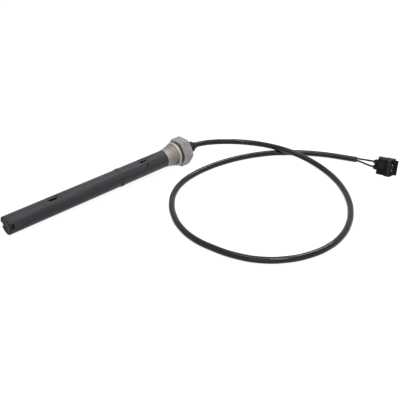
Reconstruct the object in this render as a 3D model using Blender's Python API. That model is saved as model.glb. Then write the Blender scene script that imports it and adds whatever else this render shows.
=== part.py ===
"""Oil level probe with a swivel hexagon, fly lead and two-way plug. Metres, +Z up.

The probe lies as it comes to rest: its tip and one flat of its hexagon touch the surface z = 0. Its own
axis is the local X of the empty probe_axis, with the tip's end face at x = 0. The plug's own axis is the
local X of plug_axis, with the rear of its housing at x = 0. The cable's route is in world coordinates.
"""

import math

import bmesh
import bpy
from mathutils import Matrix, Vector

FIT = 0.0003  # gap between pieces that seat on each other
SLIM_FIT = 0.00015  # radial gap of a spigot in its socket

ROUND_SIDES = 40
SMALL_SIDES = 20
WIRE_SIDES = 10

# Protective tube
BORE_RADIUS = 0.0060
TUBE_WALL = 0.0019
TUBE_RADIUS = BORE_RADIUS + TUBE_WALL
UPPER_TUBE_STEP = 0.0001  # the upper half is a little thicker
UPPER_TUBE_RADIUS = TUBE_RADIUS + UPPER_TUBE_STEP
TUBE_JOINT = 0.1060  # where the two halves meet
JOINT_DEPTH = 0.0060
JOINT_WALL = 0.00095
BEAD_STEP = 0.0003
BEAD_RADIUS = UPPER_TUBE_RADIUS + BEAD_STEP
BEAD_LENGTH = 0.0045
TIP_CHAMFER = 0.0004
SLOT_LENGTH = 0.0090
SLOT_WIDTH = 0.0055
SLOT_CORNER = 0.0025
SLOT_ANGLE = 97.0  # degrees about the axis, from +Y towards +Z
LOWER_SLOT_START = 0.0380
UPPER_SLOT_START = 0.1300
WINDOW_CORNER = 0.0005
VENT_RADIUS = 0.0011
VENT_PLACE = 0.1365
VENT_ANGLE = 144.5
SNAP_ANGLE = 166.0
SNAP_START = 0.0008
SNAP_LENGTH = 0.0032
SNAP_WIDTH = 0.0040
NOTCH_DEPTH = 0.0020
NOTCH_WIDTH = 0.0034
NIB_WIDTH = 0.0022
NIB_LENGTH = 0.0016
NIB_ANGLES = (30.0, 210.0)

# Collar
COLLAR_START = 0.1590
COLLAR_LIP = 0.0012
COLLAR_EDGE = 0.0003
COLLAR_EDGE_RADIUS = UPPER_TUBE_RADIUS + COLLAR_EDGE
FLARE_LENGTH = 0.0111
FLARE_START = COLLAR_START + COLLAR_LIP
FLARE_END = FLARE_START + FLARE_LENGTH
FLARE_RISE = 0.0026
FLARE_RADIUS = COLLAR_EDGE_RADIUS + FLARE_RISE
FLARE_POWER = 1.3
FLARE_STEPS = 9
RIM_STEP = 0.00034
RIM_RADIUS = FLARE_RADIUS + RIM_STEP
RIM_LENGTH = 0.0018
RIM_END = FLARE_END + RIM_LENGTH
RIM_ROUND = 0.00035
SPIGOT_WALL = 0.0010
SPIGOT_LENGTH = 0.0127
TUBE_END = COLLAR_START + SPIGOT_LENGTH
SOCKET_RADIUS = BORE_RADIUS + SPIGOT_WALL + SLIM_FIT
SHANK_WALL = 0.00185
SHANK_RADIUS = SOCKET_RADIUS + SHANK_WALL
THROAT_STEP = 0.00215
COLLAR_THROAT_RADIUS = SOCKET_RADIUS - THROAT_STEP
HEAD_FLANGE = 0.0024
COLLAR_SEAT = TUBE_END + HEAD_FLANGE + 2 * FIT  # shoulder inside, behind the head plug

# Seal's groove, hexagon, and the ring that keeps the hexagon on
GROOVE_LENGTH = 0.0018
SEAL_SECTION = 0.0015
NUT_START = RIM_END + GROOVE_LENGTH
NUT_LENGTH = 0.0103
NUT_RUNNING_GAP = 0.0002
NUT_WALL = 0.0028  # between the bore and a flat
ACROSS_FLATS = 2 * (SHANK_RADIUS + NUT_RUNNING_GAP + NUT_WALL)
NUT_CHAMFER_SHARE = 1.05  # circle that the end cones leave, as a share of the flats
NUT_CHAMFER_ANGLE = 30.0
NUT_MOUTH = 0.0004
NUT_END_PLAY = 0.0006
RETAINER_START = NUT_START + NUT_LENGTH + NUT_END_PLAY
RETAINER_THICKNESS = 0.0009
RETAINER_DEPTH = 0.0006
RETAINER_PROUD = 0.0010
RETAINER_OPENING = 50.0
SHANK_PAST_RING = 0.0011
COLLAR_END = RETAINER_START + RETAINER_THICKNESS + SHANK_PAST_RING

# Head
HEAD_PLUG_LENGTH = 0.0135
HEAD_START = TUBE_END + FIT - HEAD_PLUG_LENGTH
PIN_RADIUS = 0.0007
PIN_SPACING = 0.0050
PIN_PROUD = 0.0025
PIN_FRONT = HEAD_START - PIN_PROUD
POTTING_LENGTH = 0.0062
POTTING_END = COLLAR_SEAT + FIT + POTTING_LENGTH
PIN_COVER = 0.0022  # resin over the pins' ends
PIN_END = POTTING_END - PIN_COVER

# Inside the tube
GUIDE_START = 0.0004
GUIDE_LENGTH = 0.0080
GUIDE_END = GUIDE_START + GUIDE_LENGTH
GUIDE_WALL = 0.0013
GUIDE_BAR = 0.0018
BAR_LENGTH = 0.0024
BAR_SETBACK = 0.0006
EYE_RADIUS = 0.0008
EYE_PROUD = 0.0006
HOOK_LENGTH = 0.0016
HOOK_WIDTH = 0.0026
HOOK_RECESS = 0.0011
KEY_LENGTH = 0.0006
GUIDE_PLATE = 0.0010
DRAIN_LENGTH = 0.0072
DRAIN_WIDTH = 0.0014
CHANNEL_WIDTH = 0.0084
CHANNEL_DEPTH = 0.0026
CHANNEL_WALL = 0.0012
CHANNEL_BEVEL = 0.0009
CHANNEL_FLOOR = -0.0041
CHANNEL_GAP = 0.0008
CHANNEL_START = GUIDE_END + CHANNEL_GAP
CHANNEL_END = PIN_FRONT
STAND_OFF_FIRST = 0.0300
STAND_OFF_SPACING = 0.0400
STAND_OFF_COUNT = 4
STAND_OFF_LENGTH = 0.0016
STAND_OFF_SIDE = 0.0010
STAND_OFF_TOP = 0.0007
WIRE_SLOT_WIDTH = 0.0008
WIRE_SLOT_LOW = -0.0006
MEASURING_RADIUS = 0.00015
LOOP_RADIUS = 0.0008
SPRING_RADIUS = 0.0009
SPRING_WIRE = 0.00020
SPRING_TURNS = 6
SPRING_PITCH = 0.00075
SPRING_START = GUIDE_END + EYE_PROUD + FIT + SPRING_WIRE
SPRING_HOOK = 0.0022  # from the last turn to the far side of the hook
LOOP_PLACE = SPRING_START + SPRING_TURNS * SPRING_PITCH + SPRING_HOOK

# Cable
CABLE_RADIUS = 0.00265
CABLE_START = POTTING_END + FIT
FERRULE_SETBACK = 0.0007
FERRULE_START = CABLE_START + FERRULE_SETBACK
FERRULE_LENGTH = 0.0027
FERRULE_WALL = 0.0009
CRIMP_DEPTH = 0.0003
BOOT_START = FERRULE_START + FERRULE_LENGTH + FIT
BOOT_WALL = 0.00225
BOOT_RADIUS = CABLE_RADIUS + FIT + BOOT_WALL
BOOT_LENGTH = 0.0070  # from the collar's end to the boot's shoulder
BOOT_SHOULDER = COLLAR_END + BOOT_LENGTH
BOOT_TAPER = 0.0015
BOOT_NECK = 0.0022
BOOT_NECK_STEP = 0.0002
BOOT_END = BOOT_SHOULDER + BOOT_TAPER + BOOT_NECK
BOOT_LIP = 0.00045
BOOT_END_RADIUS = CABLE_RADIUS + FIT + BOOT_LIP
BOOT_FLANGE_STEP = 0.0010
BOOT_FLANGE_RADIUS = BOOT_RADIUS + BOOT_FLANGE_STEP
BOOT_FLANGE_LENGTH = 0.0014
CABLE_POINTS = 68
CONDUCTOR_RADIUS = 0.00085
CONDUCTOR_POINTS = 12

# Plug
PLUG_PLACE = (0.1019, -0.1381)  # rear of the housing: x past the boot's end, and y
PLUG_HEADING = -71.0  # degrees about Z
WIRE_SEAL_WALL = 0.00095
WIRE_SEAL_RADIUS = CONDUCTOR_RADIUS + SLIM_FIT + WIRE_SEAL_WALL
WIRE_SEAL_PROUD = 0.0012
SEAL_RIDGE = 0.0004
SEAL_BOSS_WALL = 0.00035
SEAL_BOSS_RADIUS = WIRE_SEAL_RADIUS + SLIM_FIT + SEAL_BOSS_WALL
SEAL_BOSS_LENGTH = 0.0026
SEAL_ROOM_DEPTH = 0.0030
BOSS_GAP = 0.0003
CONTACT_PITCH = 2 * SEAL_BOSS_RADIUS + BOSS_GAP
CONTACT_BORE = 0.00095
CONTACT_WALL = 0.00035
CONTACT_SETBACK = 0.0002
TOWER_WALL = 0.0004
TOWER_RADIUS = CONTACT_BORE + CONTACT_WALL + SLIM_FIT + TOWER_WALL
TOWER_LENGTH = 0.0042
FRONT_SEAL_WALL = 0.0008
FRONT_SEAL_LENGTH = 0.0024
SKIRT_WALL = 0.0009
MATING_SIDE = 0.00115  # room for the mating half beside the tower
MATING_END = 0.00335  # and above and below it
PLUG_WIDTH = 2 * (TOWER_RADIUS + MATING_SIDE + SKIRT_WALL)
PLUG_HEIGHT = CONTACT_PITCH + 2 * (TOWER_RADIUS + MATING_END + SKIRT_WALL)
BODY_LENGTH = 0.0090
BODY_TOP_STEP = 0.0007
BODY_SIDE_STEP = 0.0007
BODY_HEIGHT = PLUG_HEIGHT - 2 * BODY_TOP_STEP
BODY_WIDTH = PLUG_WIDTH - 2 * BODY_SIDE_STEP
BODY_CORNER = 0.0008
SKIRT_OVERLAP = 0.0016
SKIRT_START = BODY_LENGTH - SKIRT_OVERLAP
SKIRT_CORNER = 0.0022
MOUTH_DEPTH_NEAR = 0.0010  # the mouth is cut slanting, from the near wall
MOUTH_DEPTH_FAR = 0.0056  # to the far one
MOUTH_NEAR = BODY_LENGTH + MOUTH_DEPTH_NEAR
MOUTH_FAR = BODY_LENGTH + MOUTH_DEPTH_FAR
TOWER_END = BODY_LENGTH + TOWER_LENGTH
TONGUE_LENGTH = 0.0026
TONGUE_END = MOUTH_FAR + TONGUE_LENGTH
TONGUE_LOW = 0.0003
TONGUE_DROP = 0.0022
TONGUE_HIGH = PLUG_HEIGHT - TONGUE_DROP
TONGUE_WALL = 0.0010
LATCH_SETBACK = 0.0020
LATCH_LENGTH = 0.0015
LATCH_HEIGHT = 0.0026
LATCH_PROUD = 0.0005
LOCK_START = 0.0008
LOCK_SETBACK = 0.0006
LOCK_END = SKIRT_START - LOCK_SETBACK
LOCK_FOOT = 0.0063
LOCK_HEAD = 0.0021
LOCK_LOW = BODY_TOP_STEP + LOCK_FOOT
LOCK_HIGH = BODY_TOP_STEP + BODY_HEIGHT - LOCK_HEAD
LOCK_DEPTH = 0.0010
LOCK_PROUD = 0.0002
LOCK_STEP_LENGTH = 0.0016
LOCK_STEP_LOW = 0.0008
LOCK_STEP_HEIGHT = 0.0022
RIB_FIRST = 0.0017
RIB_SPACING = 0.0024
RIB_THICKNESS = 0.0008
RIB_PROUD = 0.0004

# Hand-chosen points of the cable's route: x past the boot's end, y, and its middle's height in cable radii
CABLE_ROUTE = (
    (0.0120, -0.0011, 4.30),
    (0.0218, -0.0023, 3.62),
    (0.0338, -0.0055, 2.79),
    (0.0449, -0.0109, 2.11),
    (0.0539, -0.0188, 1.74),
    (0.0591, -0.0297, 1.96),
    (0.0607, -0.0428, 2.68),
    (0.0618, -0.0551, 3.17),
    (0.0647, -0.0665, 2.94),
    (0.0675, -0.0791, 2.34),
    (0.0683, -0.0924, 1.66),
    (0.0661, -0.1068, 1.17),
    (0.0608, -0.1210, 1.02),
    (0.0513, -0.1372, 1.02),
    (0.0390, -0.1521, 1.02),
    (0.0246, -0.1646, 1.02),
    (0.0085, -0.1743, 1.02),
    (-0.0092, -0.1807, 1.02),
    (-0.0280, -0.1828, 1.02),
    (-0.0467, -0.1798, 1.02),
    (-0.0640, -0.1720, 1.02),
    (-0.0784, -0.1597, 1.02),
    (-0.0883, -0.1436, 1.02),
    (-0.0940, -0.1255, 1.02),
    (-0.0965, -0.1067, 1.02),
    (-0.0938, -0.0880, 1.02),
    (-0.0864, -0.0705, 1.02),
    (-0.0755, -0.0550, 1.02),
    (-0.0615, -0.0422, 1.02),
    (-0.0447, -0.0335, 1.02),
    (-0.0262, -0.0293, 1.02),
    (-0.0072, -0.0287, 1.02),
    (0.0117, -0.0308, 1.02),
    (0.0300, -0.0355, 1.02),
    (0.0475, -0.0429, 1.02),
    (0.0636, -0.0531, 1.02),
    (0.0776, -0.0659, 1.02),
    (0.0894, -0.0807, 1.02),
    (0.0989, -0.0960, 1.02),
    (0.1070, -0.1125, 1.02),
)


def lean_and_centre():
    """Slope of the probe's axis, height of its tip's middle, and the x shift that centres the probe."""
    end_circle = NUT_CHAMFER_SHARE * ACROSS_FLATS / 2
    cut = max(0.0, ACROSS_FLATS / 2 - end_circle)
    flat_edge = NUT_START + cut * math.tan(math.radians(NUT_CHAMFER_ANGLE))
    lean = math.atan2(ACROSS_FLATS / 2 - TUBE_RADIUS, flat_edge - TIP_CHAMFER)
    height = TUBE_RADIUS * math.cos(lean) - TIP_CHAMFER * math.sin(lean)
    low_x = -(TUBE_RADIUS - TIP_CHAMFER) * math.sin(lean)
    high_x = BOOT_END * math.cos(lean) + BOOT_END_RADIUS * math.sin(lean)
    return lean, height, -(low_x + high_x) / 2


LEAN, TIP_HEIGHT, SHIFT = lean_and_centre()


def clear_scene():
    for old in list(bpy.data.objects):
        bpy.data.objects.remove(old, do_unlink=True)


def finish(name, colour, roughness, metallic=0.0):
    """A Principled material, made once and shared by the pieces that have it."""
    found = bpy.data.materials.get(name)
    if found:
        return found
    made = bpy.data.materials.new(name)
    made.use_nodes = True
    shader = made.node_tree.nodes["Principled BSDF"]
    shader.inputs["Base Color"].default_value = (*colour, 1.0)
    shader.inputs["Roughness"].default_value = roughness
    shader.inputs["Metallic"].default_value = metallic
    return made


def tube_plastic():
    return finish("tube_plastic", (0.055, 0.055, 0.062), 0.55)


def natural_plastic():
    return finish("natural_plastic", (0.20, 0.195, 0.185), 0.5)


def plug_plastic():
    return finish("plug_plastic", (0.03, 0.03, 0.032), 0.42)


def collar_metal():
    return finish("collar_metal", (0.56, 0.52, 0.47), 0.34, 1.0)


def cast_metal():
    return finish("cast_metal", (0.42, 0.41, 0.40), 0.55, 0.8)


def spring_steel():
    return finish("spring_steel", (0.5, 0.5, 0.5), 0.3, 1.0)


def pin_brass():
    return finish("pin_brass", (0.70, 0.52, 0.24), 0.3, 1.0)


def tinned_metal():
    return finish("tinned_metal", (0.75, 0.75, 0.74), 0.28, 1.0)


def black_rubber():
    return finish("black_rubber", (0.02, 0.02, 0.021), 0.6)


def sleeve_gloss():
    return finish("sleeve_gloss", (0.008, 0.008, 0.009), 0.18)


def seal_rubber():
    return finish("seal_rubber", (0.22, 0.17, 0.13), 0.6)


def resin():
    return finish("resin", (0.02, 0.02, 0.02), 0.3)


def axis_empty(name, place, turn):
    empty = bpy.data.objects.new(name, None)
    empty.location = place
    empty.rotation_euler = turn
    bpy.context.collection.objects.link(empty)
    return empty


def place_object(name, data, material, parent, at=(0, 0, 0), turn=(0, 0, 0)):
    made = bpy.data.objects.new(name, data)
    bpy.context.collection.objects.link(made)
    made.parent = parent
    made.location = at
    made.rotation_euler = turn
    if material:
        made.data.materials.append(material)
    return made


def mesh_from(name, bm):
    """The bmesh as a mesh, faces outwards, round stretches shaded smooth."""
    bmesh.ops.recalc_face_normals(bm, faces=bm.faces)
    mesh = bpy.data.meshes.new(name)
    bm.to_mesh(mesh)
    bm.free()
    mesh.shade_smooth()
    mesh.set_sharp_from_angle(angle=math.radians(32))
    return mesh


def turned(name, outline, material, parent, at=(0, 0, 0), turn=(0, 0, 0), sides=ROUND_SIDES):
    """A body turned about local X from a closed outline of (x, radius) points."""
    bm = bmesh.new()
    points = [bm.verts.new((x, 0, radius)) for x, radius in outline]
    ring = list(zip(points, points[1:] + points[:1]))
    edges = [bm.edges.new(pair) for pair in ring if not all(abs(v.co.z) < 1e-9 for v in pair)]
    bmesh.ops.spin(bm, geom=points + edges, axis=(1, 0, 0), cent=(0, 0, 0), angle=math.tau, steps=sides)
    bmesh.ops.remove_doubles(bm, verts=bm.verts, dist=1e-7)
    return place_object(name, mesh_from(name, bm), material, parent, at, turn)


def extruded(name, outline, depth, material, parent, at=(0, 0, 0), turn=(0, 0, 0)):
    """A prism: a closed outline of (x, y) points in the local XY plane, extruded along +Z."""
    bm = bmesh.new()
    face = bm.faces.new([bm.verts.new((x, y, 0)) for x, y in outline])
    raised = bmesh.ops.extrude_face_region(bm, geom=[face])["geom"]
    tops = [item for item in raised if isinstance(item, bmesh.types.BMVert)]
    bmesh.ops.translate(bm, verts=tops, vec=(0, 0, depth))
    return place_object(name, mesh_from(name, bm), material, parent, at, turn)


def block(name, low, high, material, parent, at=(0, 0, 0), turn=(0, 0, 0)):
    """A box between two corners."""
    bm = bmesh.new()
    size = [b - a for a, b in zip(low, high)]
    middle = [(a + b) / 2 for a, b in zip(low, high)]
    bmesh.ops.create_cube(bm, size=1.0, matrix=Matrix.Translation(middle) @ Matrix.Diagonal((*size, 1)))
    return place_object(name, mesh_from(name, bm), material, parent, at, turn)


def tool(made):
    """Keeps a shape that only cuts or joins out of the model."""
    made.hide_render = True
    made.display_type = "WIRE"
    return made


def combine(target, other, operation="DIFFERENCE"):
    step = target.modifiers.new(f"{operation.lower()} {other.name}", "BOOLEAN")
    step.operation = operation
    step.object = tool(other)


def arc(x, y, radius, start, end, steps):
    """Points of an arc from one angle to another, in degrees."""
    angles = [math.radians(start + (end - start) * i / steps) for i in range(steps + 1)]
    return [(x + radius * math.cos(a), y + radius * math.sin(a)) for a in angles]


def rounded_rectangle(width, height, corner, steps=3):
    """Outline of a rectangle about the origin with round corners."""
    x = width / 2 - corner
    y = height / 2 - corner
    centres = ((x, y, 0), (-x, y, 90), (-x, -y, 180), (x, -y, 270))
    return [p for cx, cy, start in centres for p in arc(cx, cy, corner, start, start + 90, steps)]


def rod(x_start, x_end, radius):
    """Outline of a plain cylinder on the axis, for turned()."""
    return [(x_start, 0), (x_start, radius), (x_end, radius), (x_end, 0)]


def radial_cut(target, name, x_start, length, width, corner, angle, inner=0.003):
    """Cuts a window through the wall on one side, with its corners rounded."""
    outline = rounded_rectangle(length, width, corner)
    turn = (math.radians(angle - 90), 0, 0)
    out = Matrix.Rotation(turn[0], 3, "X") @ Vector((0, 0, inner))
    at = (x_start + length / 2, out.y, out.z)
    cutter = extruded(name, outline, UPPER_TUBE_RADIUS * 1.5 - inner, None, target.parent, at, turn)
    combine(target, cutter)


def catmull_rom(points, count):
    """A smooth curve through the points, as count points evenly spaced along it."""
    knots = [Vector(p) for p in points]
    ends = [knots[0] * 2 - knots[1], *knots, knots[-1] * 2 - knots[-2]]
    fine = []
    for a, b, c, d in zip(ends, ends[1:], ends[2:], ends[3:]):
        for i in range(24):
            t = i / 24
            bend = (2 * a - 5 * b + 4 * c - d) * t**2 + (3 * b - a - 3 * c + d) * t**3
            fine.append(b + ((c - a) * t + bend) / 2)
    fine.append(knots[-1])
    reach = [0.0]
    for a, b in zip(fine, fine[1:]):
        reach.append(reach[-1] + (b - a).length)
    spaced = []
    j = 0
    for i in range(count):
        wanted = reach[-1] * i / (count - 1)
        while j < len(reach) - 2 and reach[j + 1] < wanted:
            j += 1
        share = (wanted - reach[j]) / (reach[j + 1] - reach[j])
        spaced.append(fine[j].lerp(fine[j + 1], share))
    return spaced


def tube_along(name, points, radius, material, parent=None, resolution=2):
    """A round tube with closed ends along the points."""
    curve = bpy.data.curves.new(name, "CURVE")
    curve.dimensions = "3D"
    curve.bevel_depth = radius
    curve.bevel_resolution = resolution
    curve.use_fill_caps = True
    spline = curve.splines.new("POLY")
    spline.points.add(len(points) - 1)
    for point, place in zip(spline.points, points):
        point.co = (*place, 1.0)
    return place_object(name, curve, material, parent)


def make_lower_tube(probe):
    spigot = BORE_RADIUS + JOINT_WALL
    end = TUBE_JOINT + JOINT_DEPTH
    outline = [
        (0, BORE_RADIUS + TIP_CHAMFER),
        (0, TUBE_RADIUS - TIP_CHAMFER),
        (TIP_CHAMFER, TUBE_RADIUS),
        (TUBE_JOINT, TUBE_RADIUS),
        (TUBE_JOINT, spigot),
        (end, spigot),
        (end, BORE_RADIUS),
        (TIP_CHAMFER, BORE_RADIUS),
    ]
    tube = turned("lower_tube", outline, tube_plastic(), probe)
    radial_cut(tube, "lower_slot", LOWER_SLOT_START, SLOT_LENGTH, SLOT_WIDTH, SLOT_CORNER, SLOT_ANGLE)
    radial_cut(tube, "snap_window", SNAP_START, SNAP_LENGTH, SNAP_WIDTH, WINDOW_CORNER, SNAP_ANGLE)
    depth = NOTCH_DEPTH * 2
    radial_cut(tube, "tip_notch", -NOTCH_DEPTH, depth, NOTCH_WIDTH, 0.0004, SNAP_ANGLE + 180)


def make_upper_tube(probe):
    socket = BORE_RADIUS + JOINT_WALL + SLIM_FIT
    spigot = BORE_RADIUS + SPIGOT_WALL
    start = TUBE_JOINT + SLIM_FIT
    bead_end = start + BEAD_LENGTH
    socket_end = TUBE_JOINT + JOINT_DEPTH + FIT
    step = BEAD_RADIUS - UPPER_TUBE_RADIUS
    shoulder = COLLAR_START - SLIM_FIT
    end = TUBE_END
    outline = [
        (start, socket),
        (start, BEAD_RADIUS - step),
        (start + step, BEAD_RADIUS),
        (bead_end - step, BEAD_RADIUS),
        (bead_end, UPPER_TUBE_RADIUS),
        (shoulder, UPPER_TUBE_RADIUS),
        (shoulder, spigot),
        (end, spigot),
        (end, BORE_RADIUS),
        (socket_end, BORE_RADIUS),
        (socket_end, socket),
    ]
    tube = turned("upper_tube", outline, tube_plastic(), probe)
    radial_cut(tube, "upper_slot", UPPER_SLOT_START, SLOT_LENGTH, SLOT_WIDTH, SLOT_CORNER, SLOT_ANGLE)
    vent = VENT_RADIUS * 2
    radial_cut(tube, "vent", VENT_PLACE - VENT_RADIUS, vent, vent, VENT_RADIUS * 0.98, VENT_ANGLE)
    for i, angle in enumerate(NIB_ANGLES):
        middle = TUBE_JOINT + BEAD_LENGTH / 2 - NIB_LENGTH / 2
        radial_cut(tube, f"nib_window_{i}", middle, NIB_LENGTH, NIB_WIDTH, 0.0003, angle, socket * 0.98)


def make_tip_guide(probe):
    """Cup in the tip with a drain slot, a bar across for the spring, a snap hook and a key."""
    outer = BORE_RADIUS - SLIM_FIT
    inner = outer - GUIDE_WALL
    plate = GUIDE_START + GUIDE_PLATE
    cup = [
        (GUIDE_START, 0),
        (GUIDE_START, outer),
        (GUIDE_END, outer),
        (GUIDE_END, inner),
        (plate, inner),
        (plate, 0),
    ]
    guide = turned("tip_guide", cup, tube_plastic(), probe)
    turn = math.radians(SNAP_ANGLE - 90)
    drain_low = (GUIDE_START - 0.001, -DRAIN_LENGTH / 2, -DRAIN_WIDTH / 2)
    drain_high = (plate + 0.001, DRAIN_LENGTH / 2, DRAIN_WIDTH / 2)
    combine(guide, block("drain_slot", drain_low, drain_high, None, probe, turn=(turn, 0, 0)))
    reach = (inner + outer) / 2
    bar_end = GUIDE_END - BAR_SETBACK
    bar_low = (bar_end - BAR_LENGTH, -reach, -GUIDE_BAR / 2)
    bar_high = (bar_end, reach, GUIDE_BAR / 2)
    combine(guide, block("guide_bar", bar_low, bar_high, None, probe), "UNION")
    post = rod(bar_end - BAR_LENGTH / 2, GUIDE_END + EYE_PROUD, EYE_RADIUS)
    eye = turned("guide_eye", post, None, probe, sides=SMALL_SIDES)
    combine(guide, eye, "UNION")
    start = SNAP_START + FIT
    hook_side = SNAP_WIDTH / 2 - FIT
    hook_low = (start, hook_side - HOOK_WIDTH, reach)
    hook_high = (start + HOOK_LENGTH, hook_side, TUBE_RADIUS - HOOK_RECESS)
    combine(guide, block("guide_hook", hook_low, hook_high, None, probe, turn=(turn, 0, 0)), "UNION")
    key_side = NOTCH_WIDTH / 2 - FIT
    key_low = (NOTCH_DEPTH - FIT - KEY_LENGTH, -key_side, -(TUBE_RADIUS - 0.0009))
    key_high = (NOTCH_DEPTH - FIT, key_side, -reach)
    combine(guide, block("guide_key", key_low, key_high, None, probe, turn=(turn, 0, 0)), "UNION")


def leg_offset(x):
    """Half the distance between the wire's two legs at a place along the probe."""
    share = (x - LOOP_PLACE) / (PIN_FRONT - LOOP_PLACE)
    return LOOP_RADIUS + (PIN_SPACING / 2 - LOOP_RADIUS) * share


def make_wire_carrier(probe):
    """Channel along the tube with slotted stand-offs for the wire."""
    half = CHANNEL_WIDTH / 2
    top = CHANNEL_FLOOR + CHANNEL_DEPTH
    section = [
        (CHANNEL_FLOOR, -half + CHANNEL_BEVEL),
        (CHANNEL_FLOOR, half - CHANNEL_BEVEL),
        (CHANNEL_FLOOR + CHANNEL_BEVEL, half),
        (top, half),
        (top, half - CHANNEL_WALL),
        (CHANNEL_FLOOR + CHANNEL_WALL, half - CHANNEL_WALL),
        (CHANNEL_FLOOR + CHANNEL_WALL, -half + CHANNEL_WALL),
        (top, -half + CHANNEL_WALL),
        (top, -half),
        (CHANNEL_FLOOR + CHANNEL_BEVEL, -half),
    ]
    outline = [(-z, y) for z, y in section]
    at = (CHANNEL_START, 0, 0)
    turn = (0, math.radians(90), 0)
    length = CHANNEL_END - CHANNEL_START
    carrier = extruded("wire_carrier", outline, length, natural_plastic(), probe, at, turn)
    for i in range(STAND_OFF_COUNT):
        place = STAND_OFF_FIRST + i * STAND_OFF_SPACING
        offset = leg_offset(place)
        side = offset + STAND_OFF_SIDE
        low = (place - STAND_OFF_LENGTH / 2, -side, CHANNEL_FLOOR + CHANNEL_WALL / 2)
        high = (place + STAND_OFF_LENGTH / 2, side, STAND_OFF_TOP)
        combine(carrier, block(f"stand_off_{i}", low, high, None, probe), "UNION")
        for sign in (-1, 1):
            middle = sign * offset
            slot_low = (place - STAND_OFF_LENGTH, middle - WIRE_SLOT_WIDTH / 2, WIRE_SLOT_LOW)
            slot_high = (place + STAND_OFF_LENGTH, middle + WIRE_SLOT_WIDTH / 2, STAND_OFF_TOP * 2)
            combine(carrier, block(f"wire_slot_{i}_{sign}", slot_low, slot_high, None, probe))


def make_measuring_wire(probe):
    left = [(PIN_FRONT - FIT, PIN_SPACING / 2, 0)]
    right = [(PIN_FRONT - FIT, -PIN_SPACING / 2, 0)]
    loop = [(LOOP_PLACE + x, y, 0) for x, y in arc(0, 0, LOOP_RADIUS, 90, 270, 8)]
    tube_along("measuring_wire", left + loop + right, MEASURING_RADIUS, spring_steel(), probe, 0)


def make_tension_spring(probe):
    """Coil hooked on the guide's eye at one end and on the wire's loop at the other."""
    steps = SPRING_TURNS * 10
    coil = []
    for i in range(steps + 1):
        turn = math.tau * i / 10
        along = SPRING_START + SPRING_PITCH * i / 10
        coil.append((along, SPRING_RADIUS * math.sin(turn), SPRING_RADIUS * math.cos(turn)))
    hook_radius = LOOP_RADIUS - MEASURING_RADIUS - SPRING_WIRE + 0.00015
    hook_middle = LOOP_PLACE - LOOP_RADIUS - 0.00005
    hook = [(hook_middle + x, 0, z) for x, z in arc(0, 0, hook_radius, 90, -90, 6)]
    tube_along("tension_spring", coil + hook, SPRING_WIRE, spring_steel(), probe, 0)


def make_head(probe):
    bore = BORE_RADIUS - SLIM_FIT
    flange = BORE_RADIUS + SPIGOT_WALL
    flange_start = TUBE_END + FIT
    plug = [
        (HEAD_START, 0),
        (HEAD_START, bore - 0.0004),
        (HEAD_START + 0.0004, bore),
        (flange_start, bore),
        (flange_start, flange),
        (flange_start + HEAD_FLANGE, flange),
        (flange_start + HEAD_FLANGE, 0),
    ]
    head = turned("head_insert", plug, natural_plastic(), probe)
    potting_start = COLLAR_SEAT + FIT
    resin_outline = rod(potting_start, POTTING_END, COLLAR_THROAT_RADIUS - SLIM_FIT)
    potting = turned("potting", resin_outline, resin(), probe, sides=SMALL_SIDES)
    for name, sign in (("pin_left", 1), ("pin_right", -1)):
        side = sign * PIN_SPACING / 2
        at = (0, side, 0)
        head_hole = rod(HEAD_START - 0.001, COLLAR_SEAT + 0.001, PIN_RADIUS + SLIM_FIT)
        combine(head, turned(f"{name}_hole", head_hole, None, probe, at, sides=WIRE_SIDES))
        resin_hole = rod(potting_start - 0.001, PIN_END + FIT, PIN_RADIUS + SLIM_FIT)
        combine(potting, turned(f"{name}_resin_hole", resin_hole, None, probe, at, sides=WIRE_SIDES))
        pin = [
            (PIN_FRONT, 0),
            (PIN_FRONT, PIN_RADIUS * 0.7),
            (PIN_FRONT + PIN_RADIUS * 0.5, PIN_RADIUS),
            (PIN_END, PIN_RADIUS),
            (PIN_END, 0),
        ]
        turned(name, pin, pin_brass(), probe, at, sides=WIRE_SIDES)


def flare_radius(share):
    """Radius of the collar's hollow-curved flare, from its lip to its wide end."""
    return COLLAR_EDGE_RADIUS + FLARE_RISE * share**FLARE_POWER


def make_collar(probe):
    """One turned piece: lip, hollow flare, rim, seal groove, shank with a ring groove."""
    shares = [i / FLARE_STEPS for i in range(FLARE_STEPS + 1)]
    flare = [(FLARE_START + FLARE_LENGTH * s, flare_radius(s)) for s in shares]
    rim = [
        (FLARE_END + RIM_ROUND, RIM_RADIUS),
        (RIM_END - RIM_ROUND, RIM_RADIUS),
        (RIM_END, RIM_RADIUS - RIM_ROUND),
        (RIM_END, SHANK_RADIUS),
    ]
    groove_start = RETAINER_START - SLIM_FIT
    groove_end = RETAINER_START + RETAINER_THICKNESS + SLIM_FIT
    shank = [
        (groove_start, SHANK_RADIUS),
        (groove_start, SHANK_RADIUS - RETAINER_DEPTH - SLIM_FIT),
        (groove_end, SHANK_RADIUS - RETAINER_DEPTH - SLIM_FIT),
        (groove_end, SHANK_RADIUS),
        (COLLAR_END - 0.0004, SHANK_RADIUS),
        (COLLAR_END, SHANK_RADIUS - 0.0004),
    ]
    inside = [
        (COLLAR_END, COLLAR_THROAT_RADIUS + 0.0003),
        (COLLAR_END - 0.0003, COLLAR_THROAT_RADIUS),
        (COLLAR_SEAT, COLLAR_THROAT_RADIUS),
        (COLLAR_SEAT, SOCKET_RADIUS),
        (COLLAR_START, SOCKET_RADIUS),
        (COLLAR_START, COLLAR_EDGE_RADIUS - 0.0002),
        (COLLAR_START + 0.0002, COLLAR_EDGE_RADIUS),
    ]
    turned("collar", flare + rim + shank + inside, collar_metal(), probe, sides=ROUND_SIDES + 8)


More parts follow.
